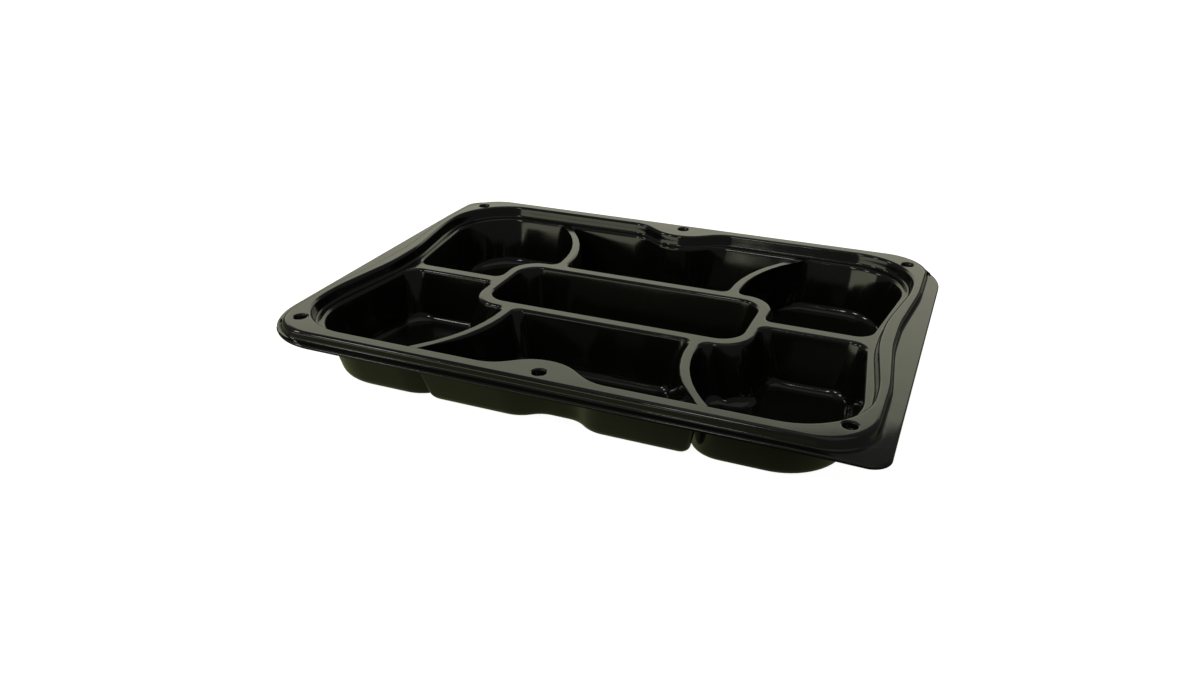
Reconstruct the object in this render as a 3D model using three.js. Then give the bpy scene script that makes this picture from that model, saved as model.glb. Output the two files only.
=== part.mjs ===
// Shallow serving tray with seven compartments, formed from one thin sheet.
// Millimetres, +Z up. The origin is under the middle of the tray, at the height it rests on.
// +X runs along the long side.

import * as THREE from 'three';
import { mergeVertices } from 'three/addons/utils/BufferGeometryUtils.js';

// ---------------------------------------------------------------- driving dimensions

const SHEET = 0.7; // thickness of the formed sheet
const RIM_TOP = 34.5; // height of the raised rim
const LAND_TOP = 28.3; // flat tops between the compartments
const LIP_TOP = 30.3; // flat lip outside the skirt

// Plan sizes are half sizes, from the middle of the tray.
const lip = { x: 150.5, y: 112, round: 38, tab: 10 };
const lipEdge = { radius: 0.8, drop: 0.4, cuts: 2 };
const tabDroop = 0.05; // fall of a corner tab for each mm past the round corner
const rimOuter = { x: 141.9, y: 106, round: 24 };
const rimInner = { x: 140, y: 101.2, round: 36 };
const rimBulge = { foot: 24, head: 7.5, reach: 12, round: 22 };
const waist = { foot: 54, head: 13, round: 110, innerReach: 6.6, outerReach: 4.3 }; // of the short sides

const middle = { x: 69.8, y: 25.8 };
const collar = { x: 73.4, y: 30.4 }; // outside of the land round the middle compartment
const spoke = { half: 2.5 }; // land between two corner compartments
const curved = { x: 50.2, half: 1.7, bend: 65, lean: 0.873 }; // land that leans outwards, in radians
const mouth = { x: 127.3, y: 96.2, flare: 0.128 }; // outer sides of the compartments

// How far each wall leans in by the floor.
const draft = { middle: 9.5, outer: 12, side: 9, inner: 10, bulge: 6, curved: 1, tip: 0 };

// Rounds of the corners in plan, at the mouth and at the floor.
const middleRounds = [13, 8];
const cornerRounds = {
  side: [9, 14],
  outer: [33, 26],
  tip: [5, 20],
  bend: [78, 20],
  curved: [5.5, 9],
  collar: [16, 12],
  spoke: [5, 9],
};
const longSideRounds = {
  collar: [5, 9],
  bend: [82, 16],
  tip: [1.5, 3],
  bulge: [22, 14],
};

const button = { x: 132.7, y: 93.2, midY: 100.4, radius: 3.9 };

// Each step down is a round edge, a leaning wall and a round foot.
const bowlStep = { height: LAND_TOP - SHEET, edge: 2.4, foot: 6, angle: 72, edgeCuts: 2, footCuts: 3 };
const rimStep = { height: RIM_TOP - LAND_TOP, edge: 1.6, foot: 1.2, angle: 78, edgeCuts: 2, footCuts: 1 };
const skirtStep = { height: RIM_TOP - LIP_TOP, edge: 1.8, foot: 1, angle: 80, edgeCuts: 2, footCuts: 1 };
const buttonStep = { height: 3.2, edge: 0.8, foot: 0.7, angle: 78, edgeCuts: 1, footCuts: 1 };

// Turn of one facet, in degrees, for corners rounded up to each radius.
const bowlTurns = [{ upTo: 2, turn: 35 }, { upTo: 20, turn: 24 }, { upTo: Infinity, turn: 14 }];
const rimTurns = [{ upTo: Infinity, turn: 20 }];
const lipCuts = 6; // facets in each corner of the lip
const buttonSides = 10;
const SIDE_USE = 0.98; // most of a side that the rounds at its two ends may take
const SAME_SPOT = 1e-3;

// ---------------------------------------------------------------- outlines

// A corner is a place in plan, with its round at the mouth and at the floor.
function corner(x, y, round, floorRound = round) {
  return { at: new THREE.Vector2(x, y), round, floorRound };
}

// The same corners on the other side, listed so that they still run anticlockwise.
function mirrored(corners, x, y) {
  const copy = corners.map((c) => corner(c.at.x * x, c.at.y * y, c.round, c.floorRound));
  return x * y < 0 ? copy.reverse() : copy;
}

function directions(corners, i) {
  const before = corners.at(i - 1).at;
  const after = corners[(i + 1) % corners.length].at;
  const into = corners[i].at.clone().sub(before).normalize();
  const out = after.clone().sub(corners[i].at).normalize();
  return { into, out, turn: Math.atan2(into.cross(out), into.dot(out)) };
}

// Moves every side inwards by its own distance. Side i runs from corner i to the next one.
function moveSides(corners, distances) {
  return corners.map((c, i) => {
    const { into, out } = directions(corners, i);
    const first = distances.at(i - 1);
    const second = distances[i];
    const det = into.cross(out);
    const at = c.at.clone();
    at.addScaledVector(into, -second / det);
    at.addScaledVector(out, first / det);
    return { ...c, at };
  });
}

// Inwards for a positive distance: rounds of outward corners shrink, and of inward ones grow.
function parallel(corners, distance) {
  const moved = moveSides(corners, corners.map(() => distance));
  return moved.map((c, i) => {
    const side = Math.sign(directions(corners, i).turn);
    return { ...c, round: corners[i].round - side * distance };
  });
}

function facets(corners, turns) {
  return corners.map((c, i) => {
    const { turn } = turns.find(({ upTo }) => c.round <= upTo);
    const total = THREE.MathUtils.radToDeg(Math.abs(directions(corners, i).turn));
    return Math.round(total / turn);
  });
}

// Shrinks rounds that would meet or cross along a side.
function fitted(corners) {
  const backs = corners.map((c, i) => c.round * Math.tan(Math.abs(directions(corners, i).turn) / 2));
  const shares = corners.map((c, i) => {
    const next = (i + 1) % corners.length;
    return (SIDE_USE * c.at.distanceTo(corners[next].at)) / (backs[i] + backs[next]);
  });
  return corners.map((c, i) => ({ ...c, round: c.round * Math.min(1, shares.at(i - 1), shares[i]) }));
}

// One closed outline, with an arc at every corner that has facets.
function outline(sharp, cuts) {
  const points = [];
  const corners = fitted(sharp);
  corners.forEach((c, i) => {
    if (cuts[i] === 0) {
      points.push(c.at);
      return;
    }
    const { into, out, turn } = directions(corners, i);
    const side = Math.sign(turn);
    const back = c.round * Math.tan(Math.abs(turn) / 2);
    const centre = c.at.clone().addScaledVector(into, -back);
    centre.add(new THREE.Vector2(-into.y, into.x).multiplyScalar(side * c.round));
    const from = Math.atan2(-into.x * side, into.y * side);
    const to = Math.atan2(-out.x * side, out.y * side);
    const arc = new THREE.ArcCurve(centre.x, centre.y, c.round, from, to, side < 0);
    points.push(...arc.getPoints(cuts[i]));
  });
  return points;
}

// A corner list between two others: share 0 is the first, and share 1 the second.
function between(first, second, share) {
  return first.map((c, i) => {
    const at = c.at.clone().lerp(second[i].at, share);
    return { at, round: THREE.MathUtils.lerp(c.round, second[i].floorRound, share) };
  });
}

function outwardNormals(points) {
  return points.map((p, i) => {
    const along = points[(i + 1) % points.length].clone().sub(points.at(i - 1));
    return new THREE.Vector2(along.y, -along.x).normalize();
  });
}

// ---------------------------------------------------------------- profiles

// Levels of a step down: how far it runs, how far it drops, and how steep it is there.
function stepLevels({ height, edge, foot, angle, edgeCuts, footCuts }) {
  const steep = THREE.MathUtils.degToRad(angle);
  const edgeDrop = edge * (1 - Math.cos(steep));
  const footDrop = foot * (1 - Math.cos(steep));
  const wallRun = (height - edgeDrop - footDrop) / Math.tan(steep);
  const total = (edge + foot) * Math.sin(steep) + wallRun;
  const levels = [];
  for (let i = 0; i <= edgeCuts; i += 1) {
    const slope = (steep * i) / edgeCuts;
    levels.push({ run: edge * Math.sin(slope), drop: edge * (1 - Math.cos(slope)), slope });
  }
  for (let i = footCuts; i >= 0; i -= 1) {
    const slope = (steep * i) / footCuts;
    const drop = height - foot * (1 - Math.cos(slope));
    levels.push({ run: total - foot * Math.sin(slope), drop, slope });
  }
  return { levels, total };
}

// The lip's outer edge rolls over and ends in a short straight fall.
function rollLevels({ radius, drop, cuts }) {
  const levels = [];
  for (let i = 0; i <= cuts; i += 1) {
    const slope = ((Math.PI / 2) * i) / cuts;
    levels.push({ run: radius * Math.sin(slope), drop: radius * (1 - Math.cos(slope)), slope });
  }
  levels.push({ run: radius, drop: radius + drop, slope: Math.PI / 2 });
  return levels;
}

// ---------------------------------------------------------------- the tray's plan

function rectangle({ x, y }, rounds) {
  const places = [[x, -y], [x, y], [-x, y], [-x, -y]];
  return places.map(([px, py], i) => corner(px, py, ...[rounds[i]].flat()));
}

// The bow of the left short side.
function waistCorners(x, reach) {
  return [
    corner(-x, waist.foot, waist.round),
    corner(reach - x, waist.head, waist.round),
    corner(reach - x, -waist.head, waist.round),
    corner(-x, -waist.foot, waist.round),
  ];
}

function rimOuterCorners() {
  const { x, y, round } = rimOuter;
  const half = [corner(x, y, round), corner(-x, y, round), ...waistCorners(x, waist.outerReach)];
  return [...half, ...mirrored(half, -1, -1)];
}

// The rim's inside edge, with a bulge round each button in the middle of a long side.
function rimInnerCorners() {
  const { x, y, round } = rimInner;
  const { foot, head, reach } = rimBulge;
  const half = [
    corner(x, y, round),
    corner(foot, y, rimBulge.round),
    corner(head, y - reach, rimBulge.round),
    corner(-head, y - reach, rimBulge.round),
    corner(-foot, y, rimBulge.round),
    corner(-x, y, round),
    ...waistCorners(x, waist.innerReach),
  ];
  return [...half, ...mirrored(half, -1, -1)];
}

// Where a leaning side of a curved land crosses a height, offset sideways from its middle.
function curvedLandX(y, offset) {
  const past = (y - curved.bend) / Math.tan(curved.lean);
  return curved.x + past + offset / Math.sin(curved.lean);
}

// Where a side of a curved land turns from straight to leaning.
function curvedLandBend(offset) {
  return curved.bend - offset * Math.tan((Math.PI / 2 - curved.lean) / 2);
}

function cornerCompartment() {
  const flare = mouth.flare * (mouth.y - spoke.half);
  const x = curved.x + curved.half;
  const corners = [
    corner(mouth.x, spoke.half, ...cornerRounds.side),
    corner(mouth.x + flare, mouth.y, ...cornerRounds.outer),
    corner(curvedLandX(mouth.y, curved.half), mouth.y, ...cornerRounds.tip),
    corner(x, curvedLandBend(curved.half), ...cornerRounds.bend),
    corner(x, collar.y, ...cornerRounds.curved),
    corner(collar.x, collar.y, ...cornerRounds.collar),
    corner(collar.x, spoke.half, ...cornerRounds.spoke),
  ];
  const { side, outer, inner } = draft;
  return { corners, leans: [side, outer, draft.curved, inner, inner, inner, inner] };
}

function longSideCompartment() {
  const x = curved.x - curved.half;
  const right = [
    corner(x, collar.y, ...longSideRounds.collar),
    corner(x, curvedLandBend(-curved.half), ...longSideRounds.bend),
    corner(curvedLandX(mouth.y, -curved.half), mouth.y, ...longSideRounds.tip),
    corner(rimBulge.foot, mouth.y, ...longSideRounds.bulge),
    corner(rimBulge.head, mouth.y - rimBulge.reach, ...longSideRounds.bulge),
  ];
  const rightLeans = [draft.inner, draft.tip, draft.outer, draft.bulge];
  const leans = [...rightLeans, draft.bulge, ...[...rightLeans].reverse(), draft.inner];
  return { corners: [...right, ...mirrored(right, -1, 1)], leans };
}

function middleCompartment() {
  const corners = rectangle(middle, Array(4).fill(middleRounds));
  return { corners, leans: corners.map(() => draft.middle) };
}

function compartments() {
  const all = [middleCompartment()];
  for (const y of [1, -1]) {
    all.push(turned(longSideCompartment(), y, y));
    for (const x of [1, -1]) all.push(turned(cornerCompartment(), x, y));
  }
  return all;
}

// Mirrors a compartment with its leans, which belong to the sides between the corners.
function turned({ corners, leans }, x, y) {
  if (x * y > 0) return { corners: mirrored(corners, x, y), leans };
  const reversed = [...leans].reverse();
  return { corners: mirrored(corners, x, y), leans: [...reversed.slice(1), reversed[0]] };
}

function buttonPlaces() {
  const places = [];
  for (const y of [1, -1]) {
    places.push(new THREE.Vector2(0, button.midY * y));
    for (const x of [1, -1]) places.push(new THREE.Vector2(button.x * x, button.y * y));
  }
  return places;
}

// ---------------------------------------------------------------- the sheet

// A skin is one face of the sheet. Depth is how far it lies below the upper face.
class Skin {
  constructor(depth) {
    this.depth = depth;
    this.positions = [];
  }

  // A ring is a closed line of points at a height. Facing is 1 where the upper face looks
  // into the outline, and -1 where it looks out of it.
  ring(points, height, slope, facing = 1) {
    const out = this.depth * Math.sin(slope) * facing;
    const z = height - this.depth * Math.cos(slope);
    const normals = outwardNormals(points);
    return points.map((p, i) => new THREE.Vector3(p.x + normals[i].x * out, p.y + normals[i].y * out, z));
  }

  triangle(a, b, c) {
    const order = this.depth > 0 ? [a, c, b] : [a, b, c];
    for (const v of order) this.positions.push(v.x, v.y, v.z);
  }

  // Joins neighbouring rings, from the outermost to the innermost.
  bands(rings) {
    for (let r = 0; r + 1 < rings.length; r += 1) {
      const outer = rings[r];
      const inner = rings[r + 1];
      outer.forEach((a, i) => {
        const next = (i + 1) % outer.length;
        this.triangle(a, outer[next], inner[next]);
        this.triangle(a, inner[next], inner[i]);
      });
    }
  }

  flat(edge, holes = []) {
    const plan = (ring) => ring.map((v) => new THREE.Vector2(v.x, v.y));
    const faces = THREE.ShapeUtils.triangulateShape(plan(edge), holes.map(plan));
    const all = [edge, ...holes].flat();
    for (const [a, b, c] of faces) {
      const first = all[b].clone().sub(all[a]);
      const second = all[c].clone().sub(all[a]);
      if (first.cross(second).z > 0) this.triangle(all[a], all[b], all[c]);
      else this.triangle(all[a], all[c], all[b]);
    }
  }
}

// How far a corner tab falls at a point of the lip.
function droop(p) {
  const centre = new THREE.Vector2(lip.x - lip.round, lip.y - lip.round);
  const past = new THREE.Vector2(Math.abs(p.x), Math.abs(p.y)).sub(centre);
  if (p.x * p.y > 0 || past.x < 0 || past.y < 0) return 0;
  return Math.max(0, past.length() - lip.round) * tabDroop;
}

// The lip's rolled edge, its flat, and the skirt up to the rim.
function addOutside(skin) {
  const edge = rectangle(lip, [lip.tab, lip.round, lip.tab, lip.round]);
  const edgeCuts = edge.map(() => lipCuts);
  const rolled = rollLevels(lipEdge).map(({ run, drop, slope }) => {
    const points = outline(parallel(edge, -run), edgeCuts);
    const ring = skin.ring(points, LIP_TOP - drop, slope, -1);
    ring.forEach((v) => { v.z -= droop(v); });
    return ring;
  });
  const top = rimOuterCorners();
  const cuts = facets(top, rimTurns);
  const skirt = stepLevels(skirtStep).levels.map(({ run, drop, slope }) =>
    skin.ring(outline(parallel(top, -run), cuts), RIM_TOP - drop, slope, -1));
  skin.bands(rolled.reverse());
  skin.bands(skirt.reverse());
  skin.flat(rolled.at(-1), [skirt[0]]);
  return { cutEdge: rolled[0], rimEdge: skirt.at(-1) };
}

// The wall from the rim's top down to the lands.
function addRimWall(skin) {
  const edge = rimInnerCorners();
  const cuts = facets(edge, rimTurns);
  const rings = stepLevels(rimStep).levels.map(({ run, drop, slope }) =>
    skin.ring(outline(parallel(edge, run), cuts), RIM_TOP - drop, slope));
  skin.bands(rings);
  return { top: rings[0], foot: rings.at(-1) };
}

function addCompartment(skin, { corners, leans }) {
  const floor = moveSides(corners, leans);
  const cuts = facets(corners, bowlTurns);
  const { levels, total } = stepLevels(bowlStep);
  const rings = levels.map(({ run, drop, slope }) =>
    skin.ring(outline(between(corners, floor, run / total), cuts), LAND_TOP - drop, slope));
  skin.bands(rings);
  skin.flat(rings.at(-1));
  return rings[0];
}

function addButton(skin, place) {
  const rings = stepLevels(buttonStep).levels.map(({ run, drop, slope }) => {
    const circle = new THREE.ArcCurve(place.x, place.y, button.radius - run, 0, Math.PI * 2);
    return skin.ring(circle.getPoints(buttonSides).slice(0, -1), RIM_TOP - drop, slope);
  });
  skin.bands(rings);
  skin.flat(rings.at(-1));
  return rings[0];
}

function addSkin(depth) {
  const skin = new Skin(depth);
  const { cutEdge, rimEdge } = addOutside(skin);
  const wall = addRimWall(skin);
  skin.flat(rimEdge, [wall.top, ...buttonPlaces().map((place) => addButton(skin, place))]);
  skin.flat(wall.foot, compartments().map((bowl) => addCompartment(skin, bowl)));
  return { skin, cutEdge };
}

function trayGeometry() {
  const upper = addSkin(0);
  const under = addSkin(SHEET);
  const cut = new Skin(0);
  cut.bands([under.cutEdge, upper.cutEdge]);
  const positions = [...upper.skin.positions, ...under.skin.positions, ...cut.positions];
  const loose = new THREE.BufferGeometry();
  loose.setAttribute('position', new THREE.Float32BufferAttribute(positions, 3));
  return mergeVertices(loose, SAME_SPOT);
}

// ---------------------------------------------------------------- the part

const plastic = new THREE.MeshStandardMaterial({ color: 0x0d0d0c, roughness: 0.22, metalness: 0 });
const tray = new THREE.Mesh(trayGeometry(), plastic);
tray.name = 'tray';

const part = new THREE.Group();
part.add(tray);

export default part;
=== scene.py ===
import math

import bmesh
import bpy
from mathutils import Euler, Matrix, Vector


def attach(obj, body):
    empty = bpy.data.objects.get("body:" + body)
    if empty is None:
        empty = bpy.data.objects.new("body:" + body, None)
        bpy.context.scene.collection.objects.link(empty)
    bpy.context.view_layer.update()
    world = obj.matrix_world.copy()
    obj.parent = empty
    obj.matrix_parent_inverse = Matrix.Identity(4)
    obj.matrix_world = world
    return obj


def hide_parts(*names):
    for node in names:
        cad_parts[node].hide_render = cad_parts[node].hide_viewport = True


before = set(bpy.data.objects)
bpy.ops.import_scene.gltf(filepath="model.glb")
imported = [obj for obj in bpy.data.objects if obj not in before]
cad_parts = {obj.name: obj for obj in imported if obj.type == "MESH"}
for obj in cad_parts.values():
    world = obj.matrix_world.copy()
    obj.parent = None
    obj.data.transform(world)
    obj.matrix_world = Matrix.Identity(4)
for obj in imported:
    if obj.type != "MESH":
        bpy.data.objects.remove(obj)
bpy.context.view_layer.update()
mm = 0.001
print("frame loaded", sorted(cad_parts))


cameraValues = {
    "place": (168.0, -436.6, 233.2),  # mm
    "tilt": 64.12,  # degrees up from looking straight down
    "turn": 22.5,
    "roll": 0.14,
    "lens": 29.24, "sensor": 36,
    "near": 0.01,  # m, so that close views aren't cut
}


def addCamera(values):
    place = Vector(values["place"]) * mm
    turn = Euler((math.radians(values["tilt"]), 0, math.radians(values["turn"])))
    bpy.ops.object.camera_add(location=place)
    camera = bpy.context.object
    roll = Matrix.Rotation(math.radians(values["roll"]), 3, "Z")
    camera.rotation_euler = (turn.to_matrix() @ roll).to_euler()
    camera.data.lens = values["lens"]
    camera.data.sensor_width = values["sensor"]
    camera.data.clip_start = values["near"]
    bpy.context.scene.camera = camera


addCamera(cameraValues)
print("camera placed")


# Half sizes from the middle of the tray, in mm, and heights over the table.
heights = {"rim": 34.5, "land": 28.3, "lip": 30.3, "sheet": 0.7}
lipValues = {
    "x": 150.5, "y": 112, "round": 38, "tab": 10,
    "roll": 0.8, "drop": 0.4, "rollCuts": 5,  # the edge turned down
    "droop": 0.05,  # fall of a corner tab for each mm past the round corner
    "flatCuts": 4,
    "bow": 0.01, "bowRound": 1,  # the short sides are straight but for this
}
rimValues = {
    "outer": (141.9, 106), "outerRound": 24,
    "inner": (140, 101.2), "innerRound": 36,
    "bulgeFoot": 24, "bulgeHead": 7.5, "bulgeReach": 12, "bulgeRound": 22,
    "waistFoot": 54, "waistHead": 13, "waistRound": 110, "innerWaist": 6.6, "outerWaist": 4.3,
}
bowlValues = {
    "middle": (69.8, 25.8),
    "collar": (73.4, 30.4),
    "spoke": 2.5,
    "curvedX": 50.2, "curvedHalf": 1.7, "curvedBend": 65, "curvedLean": 0.873,
    "mouth": (127.3, 96.2), "flare": 0.128,
    "stepFine": 7,  # mm between points along a side
    "arcFine": 6, "arcLeast": 4,  # degrees between points on an arc, and the fewest it gets
}
# Rounds of the compartments' corners, at the mouth and by the floor.
middleRounds = (13, 8)
longSideRounds = {"collar": (5, 9), "bend": (82, 16), "tip": (1.5, 3), "bulge": (22, 14)}
cornerRounds = {
    "side": (9, 14), "outer": (33, 26), "tip": (5, 20), "bend": (78, 20),
    "curved": (5.5, 9), "collar": (16, 12), "spoke": (5, 9),
}
# How far the walls lean in by the floor.
leanValues = {"middle": 9.5, "outer": 12, "side": 9, "inner": 10, "bulge": 6, "curved": 1, "tip": 0}
buttonValues = {"corner": (132.7, 93.2), "middle": (0, 100.4), "radius": 3.9, "points": 40}

# Steps down: a round edge, a leaning wall and a round foot.
bowlStep = {
    "height": 27.6, "edge": 2.4, "foot": 6, "angle": 72,
    "edgeCuts": 6, "wallCuts": 5, "footCuts": 8,
}
rimStep = {
    "height": 6.2, "edge": 1.6, "foot": 1.2, "angle": 78,
    "edgeCuts": 5, "wallCuts": 2, "footCuts": 4,
}
skirtStep = {
    "height": 4.2, "edge": 1.8, "foot": 1, "angle": 80,
    "edgeCuts": 5, "wallCuts": 1, "footCuts": 4,
}
buttonStep = {
    "height": 3.2, "edge": 0.8, "foot": 0.7, "angle": 78,
    "edgeCuts": 4, "wallCuts": 1, "footCuts": 3,
}
flatBand = 0.3  # mm of flat kept round every flat face, so that it shades flat
sideShare = 0.98  # how much of a side two rounds may take up
# Points on each corner's arc and on the side after it, alike from the lip's edge to the rim's.
outsidePlan = [(16, 26), (16, 8), (2, 6), (2, 5), (2, 6), (2, 8)] * 2


# An outline is a list of corners, anticlockwise, each with its place and its rounds.
def corner(x, y, mouthRound, floorRound=None):
    return {"at": Vector((x, y)), "round": mouthRound, "floorRound": floorRound or mouthRound}


# Mirrored once, the corners come in the opposite order, to stay anticlockwise.
def mirrored(corners, x, y):
    copies = [dict(c, at=Vector((c["at"].x * x, c["at"].y * y))) for c in corners]
    return copies[::-1] if x * y < 0 else copies


# The directions of the sides before and after a corner, and the angle from one to the other.
def turnAt(corners, i):
    here = corners[i]["at"]
    into = (here - corners[i - 1]["at"]).normalized()
    out = (corners[(i + 1) % len(corners)]["at"] - here).normalized()
    return into, out, math.atan2(into.cross(out), into.dot(out))


# Every side moves inwards by its own distance. Each distance is for the side after its corner.
def movedSides(corners, distances):
    moved = []
    for i, c in enumerate(corners):
        into, out, _ = turnAt(corners, i)
        cross = into.cross(out)
        at = c["at"] - into * (distances[i] / cross) + out * (distances[i - 1] / cross)
        moved.append(dict(c, at=at))
    return moved


# The outline a distance further in, or further out if it is below zero.
def parallel(corners, distance):
    moved = movedSides(corners, [distance] * len(corners))
    for i, c in enumerate(moved):
        c["round"] = corners[i]["round"] - math.copysign(distance, turnAt(corners, i)[2])
    return moved


# The outline part of the way down from the mouth to the floor.
def between(mouth, floor, share):
    return [
        dict(a, at=a["at"].lerp(b["at"], share), round=a["round"] * (1 - share) + b["floorRound"] * share)
        for a, b in zip(mouth, floor)
    ]


# Rounds that would meet along a side are made smaller.
def fitted(corners):
    backs = [c["round"] * math.tan(abs(turnAt(corners, i)[2]) / 2) for i, c in enumerate(corners)]
    shares = []
    for i, c in enumerate(corners):
        after = (i + 1) % len(corners)
        side = (corners[after]["at"] - c["at"]).length
        shares.append(sideShare * side / (backs[i] + backs[after]))
    return [dict(c, round=c["round"] * min(1, shares[i - 1], shares[i])) for i, c in enumerate(corners)]


# How many points each corner's arc and each side gets, the same at every level.
def pointPlan(corners):
    v = bowlValues
    plan = []
    for i, c in enumerate(corners):
        turn = abs(turnAt(corners, i)[2])
        arc = max(v["arcLeast"], math.ceil(turn * 180 / math.pi / v["arcFine"]))
        after = corners[(i + 1) % len(corners)]
        side = (after["at"] - c["at"]).length - c["round"] - after["round"]
        plan.append((arc, max(1, round(side / v["stepFine"]))))
    return plan


# The points of an outline: each corner's arc, then the side after it.
def outline(corners, plan):
    arcs = []
    corners = fitted(corners)
    for i, c in enumerate(corners):
        into, out, turn = turnAt(corners, i)
        side = math.copysign(1, turn)
        start = c["at"] - into * (c["round"] * math.tan(abs(turn) / 2))
        centre = start + Vector((-into.y, into.x)) * side * c["round"]
        first = math.atan2(-into.x * side, into.y * side)
        cuts = plan[i][0]
        angles = [first + turn * k / cuts for k in range(cuts + 1)]
        arcs.append([centre + Vector((math.cos(a), math.sin(a))) * c["round"] for a in angles])
    points = []
    for i, arc in enumerate(arcs):
        after = arcs[(i + 1) % len(arcs)][0]
        cuts = plan[i][1]
        points += arc
        points += [arc[-1].lerp(after, k / cuts) for k in range(1, cuts)]
    return points


# Levels of a step: how far it runs and how far it drops.
def stepLevels(step):
    steep = math.radians(step["angle"])
    edge, foot, height = step["edge"], step["foot"], step["height"]
    wallDrop = height - (edge + foot) * (1 - math.cos(steep))
    wallRun = wallDrop / math.tan(steep)
    levels = []
    for k in range(step["edgeCuts"] + 1):
        slope = steep * k / step["edgeCuts"]
        levels.append((edge * math.sin(slope), edge * (1 - math.cos(slope))))
    run, drop = levels[-1]
    for k in range(1, step["wallCuts"]):
        share = k / step["wallCuts"]
        levels.append((run + wallRun * share, drop + wallDrop * share))
    total = (edge + foot) * math.sin(steep) + wallRun
    for k in range(step["footCuts"], -1, -1):
        slope = steep * k / step["footCuts"]
        levels.append((total - foot * math.sin(slope), height - foot * (1 - math.cos(slope))))
    return levels, total


def ringAt(points, height):
    return [Vector((p.x, p.y, height)) * mm for p in points]


# A strip is a grid rolled up round the tray, from its outermost ring to its innermost.
def addStrip(rings):
    around = len(rings[0])
    bpy.ops.mesh.primitive_grid_add(x_subdivisions=around, y_subdivisions=len(rings) - 1, size=1)
    strip = bpy.context.object
    for k, vertex in enumerate(strip.data.vertices):
        vertex.co = rings[k // (around + 1)][k % (around + 1) % around]
    return strip


# A flat is filled between its outer loop and the loops of its holes.
def addFlat(loops):
    bpy.ops.mesh.primitive_circle_add(vertices=len(loops[0]), fill_type="NOTHING")
    flat = bpy.context.object
    for vertex, place in zip(flat.data.vertices, loops[0]):
        vertex.co = place
    bpy.ops.object.mode_set(mode="EDIT")
    for loop in loops[1:]:
        bpy.ops.mesh.primitive_circle_add(vertices=len(loop), fill_type="NOTHING")
        edited = bmesh.from_edit_mesh(flat.data)
        edited.verts.ensure_lookup_table()
        for vertex, place in zip(edited.verts[-len(loop):], loop):
            vertex.co = place
    bmesh.update_edit_mesh(flat.data)
    bpy.ops.mesh.select_all(action="SELECT")
    bpy.ops.mesh.fill(use_beauty=True)
    edited = bmesh.from_edit_mesh(flat.data)
    for face in edited.faces:
        if face.normal.z < 0:
            face.normal_flip()
    bmesh.update_edit_mesh(flat.data)
    bpy.ops.object.mode_set(mode="OBJECT")
    return flat


# The left short side of the rim, which bows inwards.
def waistCorners(x, reach):
    v = rimValues
    foot, head, waistRound = v["waistFoot"], v["waistHead"], v["waistRound"]
    return [
        corner(-x, foot, waistRound),
        corner(reach - x, head, waistRound),
        corner(reach - x, -head, waistRound),
        corner(-x, -foot, waistRound),
    ]


def rimOuterCorners():
    v = rimValues
    x, y = v["outer"]
    half = [corner(x, y, v["outerRound"]), corner(-x, y, v["outerRound"])]
    half += waistCorners(x, v["outerWaist"])
    return half + mirrored(half, -1, -1)


# The lip's outline, with its short sides parted like the rim's so that the two join up.
def lipCorners():
    v = lipValues
    x, y, foot, head = v["x"], v["y"], rimValues["waistFoot"], rimValues["waistHead"]
    half = [corner(x, y, v["round"]), corner(-x, y, v["tab"])]
    side = [(-x, foot), (v["bow"] - x, head), (v["bow"] - x, -head), (-x, -foot)]
    half += [corner(*place, v["bowRound"]) for place in side]
    return half + mirrored(half, -1, -1)


# The rim's inner edge, with the bulges round the buttons in the middle of the long sides.
def rimInnerCorners():
    v = rimValues
    x, y = v["inner"]
    half = [
        corner(x, y, v["innerRound"]),
        corner(v["bulgeFoot"], y, v["bulgeRound"]),
        corner(v["bulgeHead"], y - v["bulgeReach"], v["bulgeRound"]),
        corner(-v["bulgeHead"], y - v["bulgeReach"], v["bulgeRound"]),
        corner(-v["bulgeFoot"], y, v["bulgeRound"]),
        corner(-x, y, v["innerRound"]),
    ]
    half += waistCorners(x, v["innerWaist"])
    return half + mirrored(half, -1, -1)


# Where a curved divider's leaning part lies at a given y. The offset is from its middle line.
def curvedX(y, offset):
    v, lean = bowlValues, bowlValues["curvedLean"]
    return v["curvedX"] + (y - v["curvedBend"]) / math.tan(lean) + offset / math.sin(lean)


# Where it bends.
def curvedBend(offset):
    return bowlValues["curvedBend"] - offset * math.tan((math.pi / 2 - bowlValues["curvedLean"]) / 2)


# A compartment is the corners of its mouth and how far each wall leans in.
def cornerBowl():
    v, lean, rounds = bowlValues, leanValues, cornerRounds
    spoke, half = v["spoke"], v["curvedHalf"]
    x, y = v["mouth"]
    collarX, collarY = v["collar"]
    corners = [
        corner(x, spoke, *rounds["side"]),
        corner(x + v["flare"] * (y - spoke), y, *rounds["outer"]),
        corner(curvedX(y, half), y, *rounds["tip"]),
        corner(v["curvedX"] + half, curvedBend(half), *rounds["bend"]),
        corner(v["curvedX"] + half, collarY, *rounds["curved"]),
        corner(collarX, collarY, *rounds["collar"]),
        corner(collarX, spoke, *rounds["spoke"]),
    ]
    return corners, [lean["side"], lean["outer"], lean["curved"]] + [lean["inner"]] * 4


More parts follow.
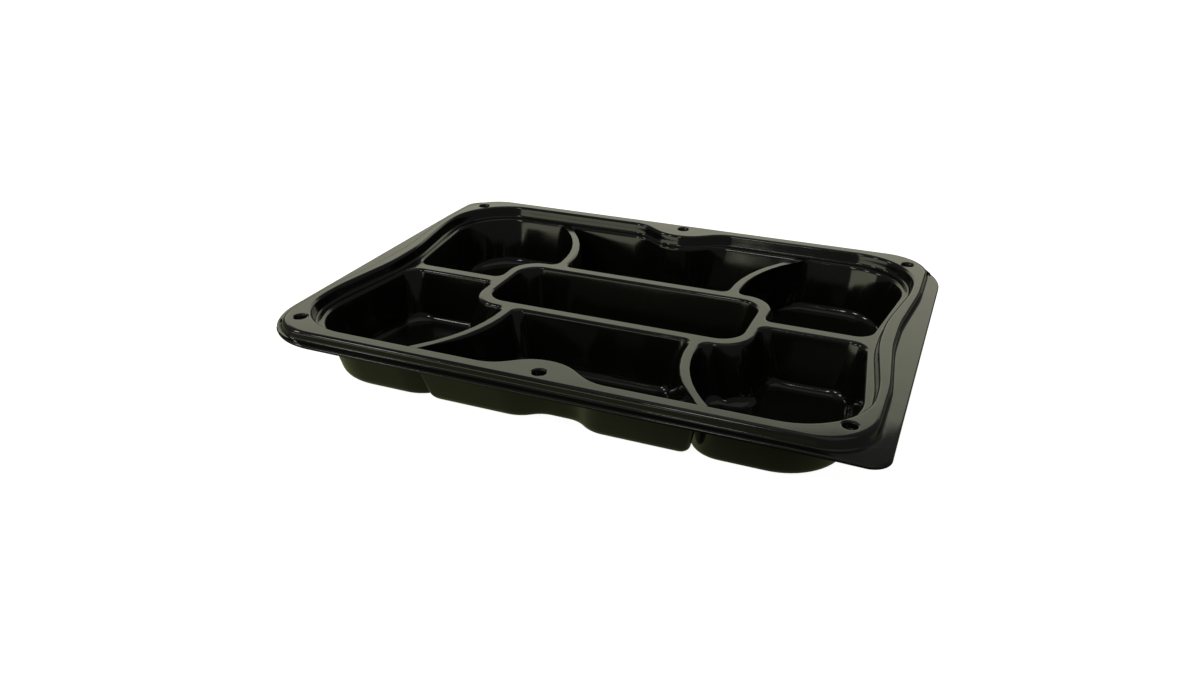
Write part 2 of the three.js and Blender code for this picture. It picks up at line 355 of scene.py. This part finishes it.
def longSideBowl():
    v, lean, rim, rounds = bowlValues, leanValues, rimValues, longSideRounds
    x = v["curvedX"] - v["curvedHalf"]
    y = v["mouth"][1]
    right = [
        corner(x, v["collar"][1], *rounds["collar"]),
        corner(x, curvedBend(-v["curvedHalf"]), *rounds["bend"]),
        corner(curvedX(y, -v["curvedHalf"]), y, *rounds["tip"]),
        corner(rim["bulgeFoot"], y, *rounds["bulge"]),
        corner(rim["bulgeHead"], y - rim["bulgeReach"], *rounds["bulge"]),
    ]
    leans = [lean["inner"], lean["tip"], lean["outer"], lean["bulge"]]
    return right + mirrored(right, -1, 1), leans + [lean["bulge"]] + leans[::-1] + [lean["inner"]]


def middleBowl():
    x, y = bowlValues["middle"]
    places = [(x, -y), (x, y), (-x, y), (-x, -y)]
    return [corner(*place, *middleRounds) for place in places], [leanValues["middle"]] * 4


# The same compartment at another corner or side. Mirrored once, its walls come in the opposite order.
def turned(bowl, x, y):
    corners, leans = bowl
    if x * y < 0:
        leans = leans[::-1][1:] + leans[::-1][:1]
    return mirrored(corners, x, y), leans


# A compartment's wall and floor. It returns the top ring, which the land round it is filled up to.
def addBowl(bowl):
    corners, leans = bowl
    plan = pointPlan(corners)
    floor = movedSides(corners, leans)
    levels, total = stepLevels(bowlStep)
    rings = [ringAt(outline(parallel(corners, -flatBand), plan), heights["land"])]
    for run, drop in levels:
        rings.append(ringAt(outline(between(corners, floor, run / total), plan), heights["land"] - drop))
    inside = outline(parallel(between(corners, floor, 1), flatBand * 2), plan)
    rings.append(ringAt(inside, heights["land"] - bowlStep["height"]))
    pieces.append(addStrip(rings))
    pieces.append(addFlat([rings[-1]]))
    return rings[0]


# A round dimple in the rim's top. It returns the dimple's top ring.
def addButton(place):
    levels, total = stepLevels(buttonStep)
    count = buttonValues["points"]
    angles = [math.tau * k / count for k in range(count)]
    around = [Vector((math.cos(a), math.sin(a))) for a in angles]
    rings = []
    for run, drop in [(-flatBand, 0)] + levels + [(total + flatBand, buttonStep["height"])]:
        spots = [Vector(place) + spot * (buttonValues["radius"] - run) for spot in around]
        rings.append(ringAt(spots, heights["rim"] - drop))
    pieces.append(addStrip(rings))
    pieces.append(addFlat([rings[-1]]))
    return rings[0]


# The two corner tabs fall away a little. The round corners don't.
def lipDroop(point):
    v = lipValues
    past = Vector((abs(point.x) - (v["x"] - v["round"]) * mm, abs(point.y) - (v["y"] - v["round"]) * mm))
    if point.x * point.y > 0 or past.x < 0 or past.y < 0:
        return 0
    return max(0, past.length - v["round"] * mm) * v["droop"]


# The rolled edge, the flat lip, and the skirt up to the rim. It returns the rim's outer ring.
def addOutside():
    v = lipValues
    edge = lipCorners()
    plan = outsidePlan
    radius = v["roll"]
    rings = [ringAt(outline(parallel(edge, -radius), plan), heights["lip"] - radius - v["drop"])]
    for k in range(v["rollCuts"], -1, -1):
        slope = math.pi / 2 * k / v["rollCuts"]
        points = outline(parallel(edge, -radius * math.sin(slope)), plan)
        rings.append(ringAt(points, heights["lip"] - radius * (1 - math.cos(slope))))
    rings.append(ringAt(outline(parallel(edge, flatBand), plan), heights["lip"]))
    for ring in rings:
        for point in ring:
            point.z -= lipDroop(point)
    top = rimOuterCorners()
    levels, total = stepLevels(skirtStep)
    skirt = [ringAt(outline(parallel(top, -total - flatBand), plan), heights["lip"])]
    for run, drop in levels[::-1]:
        skirt.append(ringAt(outline(parallel(top, -run), plan), heights["rim"] - drop))
    skirt.append(ringAt(outline(parallel(top, flatBand), plan), heights["rim"]))
    across = [
        [a.lerp(b, k / v["flatCuts"]) for a, b in zip(rings[-1], skirt[0])]
        for k in range(1, v["flatCuts"])
    ]
    pieces.append(addStrip(rings + across + skirt))
    return skirt[-1]


# The wall from the rim's top down to the lands. It returns its top ring and its bottom one.
def addRimWall():
    edge = rimInnerCorners()
    plan = pointPlan(edge)
    levels, total = stepLevels(rimStep)
    levels = [(-flatBand, 0)] + levels + [(total + flatBand, rimStep["height"])]
    rings = [ringAt(outline(parallel(edge, run), plan), heights["rim"] - drop) for run, drop in levels]
    pieces.append(addStrip(rings))
    return rings[0], rings[-1]


pieces = []
bpy.ops.object.select_all(action="DESELECT")
rimEdge = addOutside()
wallTop, wallFoot = addRimWall()
buttonRings = []
for side in (1, -1):
    buttonRings.append(addButton((0, buttonValues["middle"][1] * side)))
    for end in (1, -1):
        buttonRings.append(addButton((buttonValues["corner"][0] * end, buttonValues["corner"][1] * side)))
pieces.append(addFlat([rimEdge, wallTop] + buttonRings))
print("rim and lip modelled")

bowlRings = [addBowl(middleBowl())]
for side in (1, -1):
    bowlRings.append(addBowl(turned(longSideBowl(), side, side)))
    for end in (1, -1):
        bowlRings.append(addBowl(turned(cornerBowl(), end, side)))
pieces.append(addFlat([wallFoot] + bowlRings))
print("compartments modelled")


# Points closer than the weld, in mm, are merged. Edges turning more than the angle, in degrees, stay sharp.
sheetValues = {"weld": 0.01, "sharp": 40}


# Joins the strips and the flats into one sheet and gives it its thickness.
def joinSheet():
    bpy.ops.object.select_all(action="DESELECT")
    for piece in pieces:
        piece.select_set(True)
    bpy.context.view_layer.objects.active = pieces[0]
    bpy.ops.object.join()
    sheet = bpy.context.object
    sheet.name = "formedSheet"
    sheet.data.name = "formedSheet"
    bpy.ops.object.mode_set(mode="EDIT")
    bpy.ops.mesh.select_all(action="SELECT")
    bpy.ops.mesh.remove_doubles(threshold=sheetValues["weld"] * mm)
    bpy.ops.object.mode_set(mode="OBJECT")
    thick = sheet.modifiers.new("thickness", "SOLIDIFY")
    thick.thickness = heights["sheet"] * mm
    thick.offset = -1
    thick.use_quality_normals = True
    bpy.ops.object.modifier_apply(modifier=thick.name)
    bpy.ops.object.shade_smooth_by_angle(angle=math.radians(sheetValues["sharp"]))
    return sheet


sheet = joinSheet()
print("sheet joined", len(sheet.data.polygons), "faces")


# Scales are per metre and depths in metres.
plasticValues = {
    "colour": (0.0035, 0.0036, 0.0026, 1),
    "worn": (0.0075, 0.0075, 0.006, 1),
    "rough": (0.07, 0.14),
    "ior": 1.5,
    "clouds": 28, "cloudDetail": 4, "cloudRange": (0.3, 0.7),  # paler, duller patches
    "ripple": 55, "rippleDetail": 1, "rippleDepth": 0.00012,  # the sheet isn't quite flat
    "grain": 2600, "grainDetail": 2, "grainDepth": 0.000004,
}


def plasticMaterial(values):
    material = bpy.data.materials.new("blackTrayPlastic")
    material.use_nodes = True
    nodes, links = material.node_tree.nodes, material.node_tree.links
    nodes.clear()
    output = nodes.new("ShaderNodeOutputMaterial")
    shader = nodes.new("ShaderNodeBsdfPrincipled")
    shader.inputs["IOR"].default_value = values["ior"]
    links.new(shader.outputs["BSDF"], output.inputs["Surface"])
    place = nodes.new("ShaderNodeTexCoord")

    clouds = nodes.new("ShaderNodeTexNoise")
    clouds.inputs["Scale"].default_value = values["clouds"]
    clouds.inputs["Detail"].default_value = values["cloudDetail"]
    links.new(place.outputs["Object"], clouds.inputs["Vector"])
    tint = nodes.new("ShaderNodeMix")
    tint.data_type = "RGBA"
    tint.inputs[6].default_value = values["colour"]  # 6 and 7 are the two colours
    tint.inputs[7].default_value = values["worn"]
    links.new(clouds.outputs["Fac"], tint.inputs["Factor"])
    links.new(tint.outputs[2], shader.inputs["Base Color"])

    rough = nodes.new("ShaderNodeMapRange")
    rough.inputs["From Min"].default_value, rough.inputs["From Max"].default_value = values["cloudRange"]
    rough.inputs["To Min"].default_value, rough.inputs["To Max"].default_value = values["rough"]
    links.new(clouds.outputs["Fac"], rough.inputs["Value"])
    links.new(rough.outputs["Result"], shader.inputs["Roughness"])

    ripple = nodes.new("ShaderNodeTexNoise")
    ripple.inputs["Scale"].default_value = values["ripple"]
    ripple.inputs["Detail"].default_value = values["rippleDetail"]
    links.new(place.outputs["Object"], ripple.inputs["Vector"])
    rippleBump = nodes.new("ShaderNodeBump")
    rippleBump.inputs["Distance"].default_value = values["rippleDepth"]
    links.new(ripple.outputs["Fac"], rippleBump.inputs["Height"])
    grain = nodes.new("ShaderNodeTexNoise")
    grain.inputs["Scale"].default_value = values["grain"]
    grain.inputs["Detail"].default_value = values["grainDetail"]
    links.new(place.outputs["Object"], grain.inputs["Vector"])
    grainBump = nodes.new("ShaderNodeBump")
    grainBump.inputs["Distance"].default_value = values["grainDepth"]
    links.new(grain.outputs["Fac"], grainBump.inputs["Height"])
    links.new(rippleBump.outputs["Normal"], grainBump.inputs["Normal"])
    links.new(grainBump.outputs["Normal"], shader.inputs["Normal"])
    return material


sheet.data.materials.clear()
sheet.data.materials.append(plasticMaterial(plasticValues))
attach(sheet, "root")
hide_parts("tray")
print("plastic applied")


studioValues = {
    "tableSize": 12, "tableColour": (0.9, 0.9, 0.9, 1), "tableRough": 0.8, "tableGlow": 0.95,
    # The table as the gloss of the tray shows it: a painted shadow in front of the right half, and painted
    # light away from there.
    "paintedShadow": {"place": (0.16, -0.34, 0), "reach": (0.2, 0.31), "colour": (0.01, 0.01, 0.006, 1)},
    "lit": (0.2, 0.215, 0.11, 1),
    "room": 0.13,
    "back": {"place": (-1.0, 2.6, 1.17), "size": (4.5, 1.18), "power": 17, "colour": (1, 1.02, 0.76)},
    "above": {"place": (0.1, 0.3, 2.6), "size": (2.2, 2.2), "power": 3.5, "colour": (1, 1.01, 0.92)},
    "front": {"place": (-1.5, -1.9, 0.4), "size": (2.4, 0.5), "power": 5.5, "colour": (1, 1.02, 0.74)},
    "lamps": {
        "places": [(-1.5, -0.3, 1.3), (-1.1, -1.1, 1.2), (-0.4, -1.5, 1.5)],
        "size": 0.24, "power": 2, "colour": (1, 1, 0.96),
    },
}


# The camera sees a white table, and the plastic reflects a dark olive one: a glow with a painted shadow and
# painted light on it.
def addFloor(values):
    bpy.ops.mesh.primitive_plane_add(size=values["tableSize"])
    floor = bpy.context.object
    floor.name = "table"
    material = bpy.data.materials.new("paleTable")
    material.use_nodes = True
    nodes, links = material.node_tree.nodes, material.node_tree.links
    shader = nodes["Principled BSDF"]
    shader.inputs["Base Color"].default_value = values["tableColour"]
    shader.inputs["Roughness"].default_value = values["tableRough"]
    shader.inputs["Emission Color"].default_value = (1, 1, 1, 1)
    shader.inputs["Emission Strength"].default_value = values["tableGlow"]
    # Painted shadow and painted light, as a glow seen only in reflections: dark round a spot in front of
    # the tray's right half, olive further away.
    paintedShadow = values["paintedShadow"]
    place = nodes.new("ShaderNodeTexCoord")
    away = nodes.new("ShaderNodeVectorMath")
    away.operation = "DISTANCE"
    away.inputs[1].default_value = paintedShadow["place"]
    links.new(place.outputs["Object"], away.inputs[0])
    share = nodes.new("ShaderNodeMapRange")
    share.interpolation_type = "SMOOTHSTEP"
    share.inputs["From Min"].default_value, share.inputs["From Max"].default_value = paintedShadow["reach"]
    links.new(away.outputs["Value"], share.inputs["Value"])
    paintedShadowPool = nodes.new("ShaderNodeMix")
    paintedShadowPool.data_type = "RGBA"
    paintedShadowPool.inputs[6].default_value = paintedShadow["colour"]
    paintedShadowPool.inputs[7].default_value = values["lit"]
    links.new(share.outputs["Result"], paintedShadowPool.inputs["Factor"])
    reflected = nodes.new("ShaderNodeEmission")
    links.new(paintedShadowPool.outputs[2], reflected.inputs["Color"])
    path = nodes.new("ShaderNodeLightPath")
    mix = nodes.new("ShaderNodeMixShader")
    links.new(path.outputs["Is Camera Ray"], mix.inputs["Fac"])
    links.new(reflected.outputs["Emission"], mix.inputs[1])
    links.new(shader.outputs["BSDF"], mix.inputs[2])
    links.new(mix.outputs["Shader"], nodes["Material Output"].inputs["Surface"])
    floor.data.materials.append(material)


# An area light turned to the tray's middle.
def addSoftbox(place, size, power, colour):
    bpy.ops.object.light_add(type="AREA", location=place)
    lamp = bpy.context.object
    lamp.data.shape = "RECTANGLE"
    lamp.data.size, lamp.data.size_y = size
    lamp.data.energy = power
    lamp.data.color = colour
    lamp.rotation_euler = (-Vector(place)).to_track_quat("-Z", "Y").to_euler()


def addStudio(values):
    addFloor(values)
    for box in (values["back"], values["above"], values["front"]):
        addSoftbox(box["place"], box["size"], box["power"], box["colour"])
    lamps = values["lamps"]
    for place in lamps["places"]:
        addSoftbox(place, (lamps["size"], lamps["size"]), lamps["power"], lamps["colour"])
    world = bpy.data.worlds.new("studio")
    bpy.context.scene.world = world
    world.use_nodes = True
    backdrop = world.node_tree.nodes["Background"]
    backdrop.inputs["Color"].default_value = (1, 1, 1, 1)
    # Past the table the camera sees the same white, while the plastic reflects a dark room.
    nodes, links = world.node_tree.nodes, world.node_tree.links
    strength = nodes.new("ShaderNodeMapRange")
    strength.inputs["To Min"].default_value = values["room"]
    strength.inputs["To Max"].default_value = values["tableGlow"]
    links.new(nodes.new("ShaderNodeLightPath").outputs["Is Camera Ray"], strength.inputs["Value"])
    links.new(strength.outputs["Result"], backdrop.inputs["Strength"])
    bpy.context.scene.view_settings.view_transform = "Standard"


addStudio(studioValues)
print("studio lit")
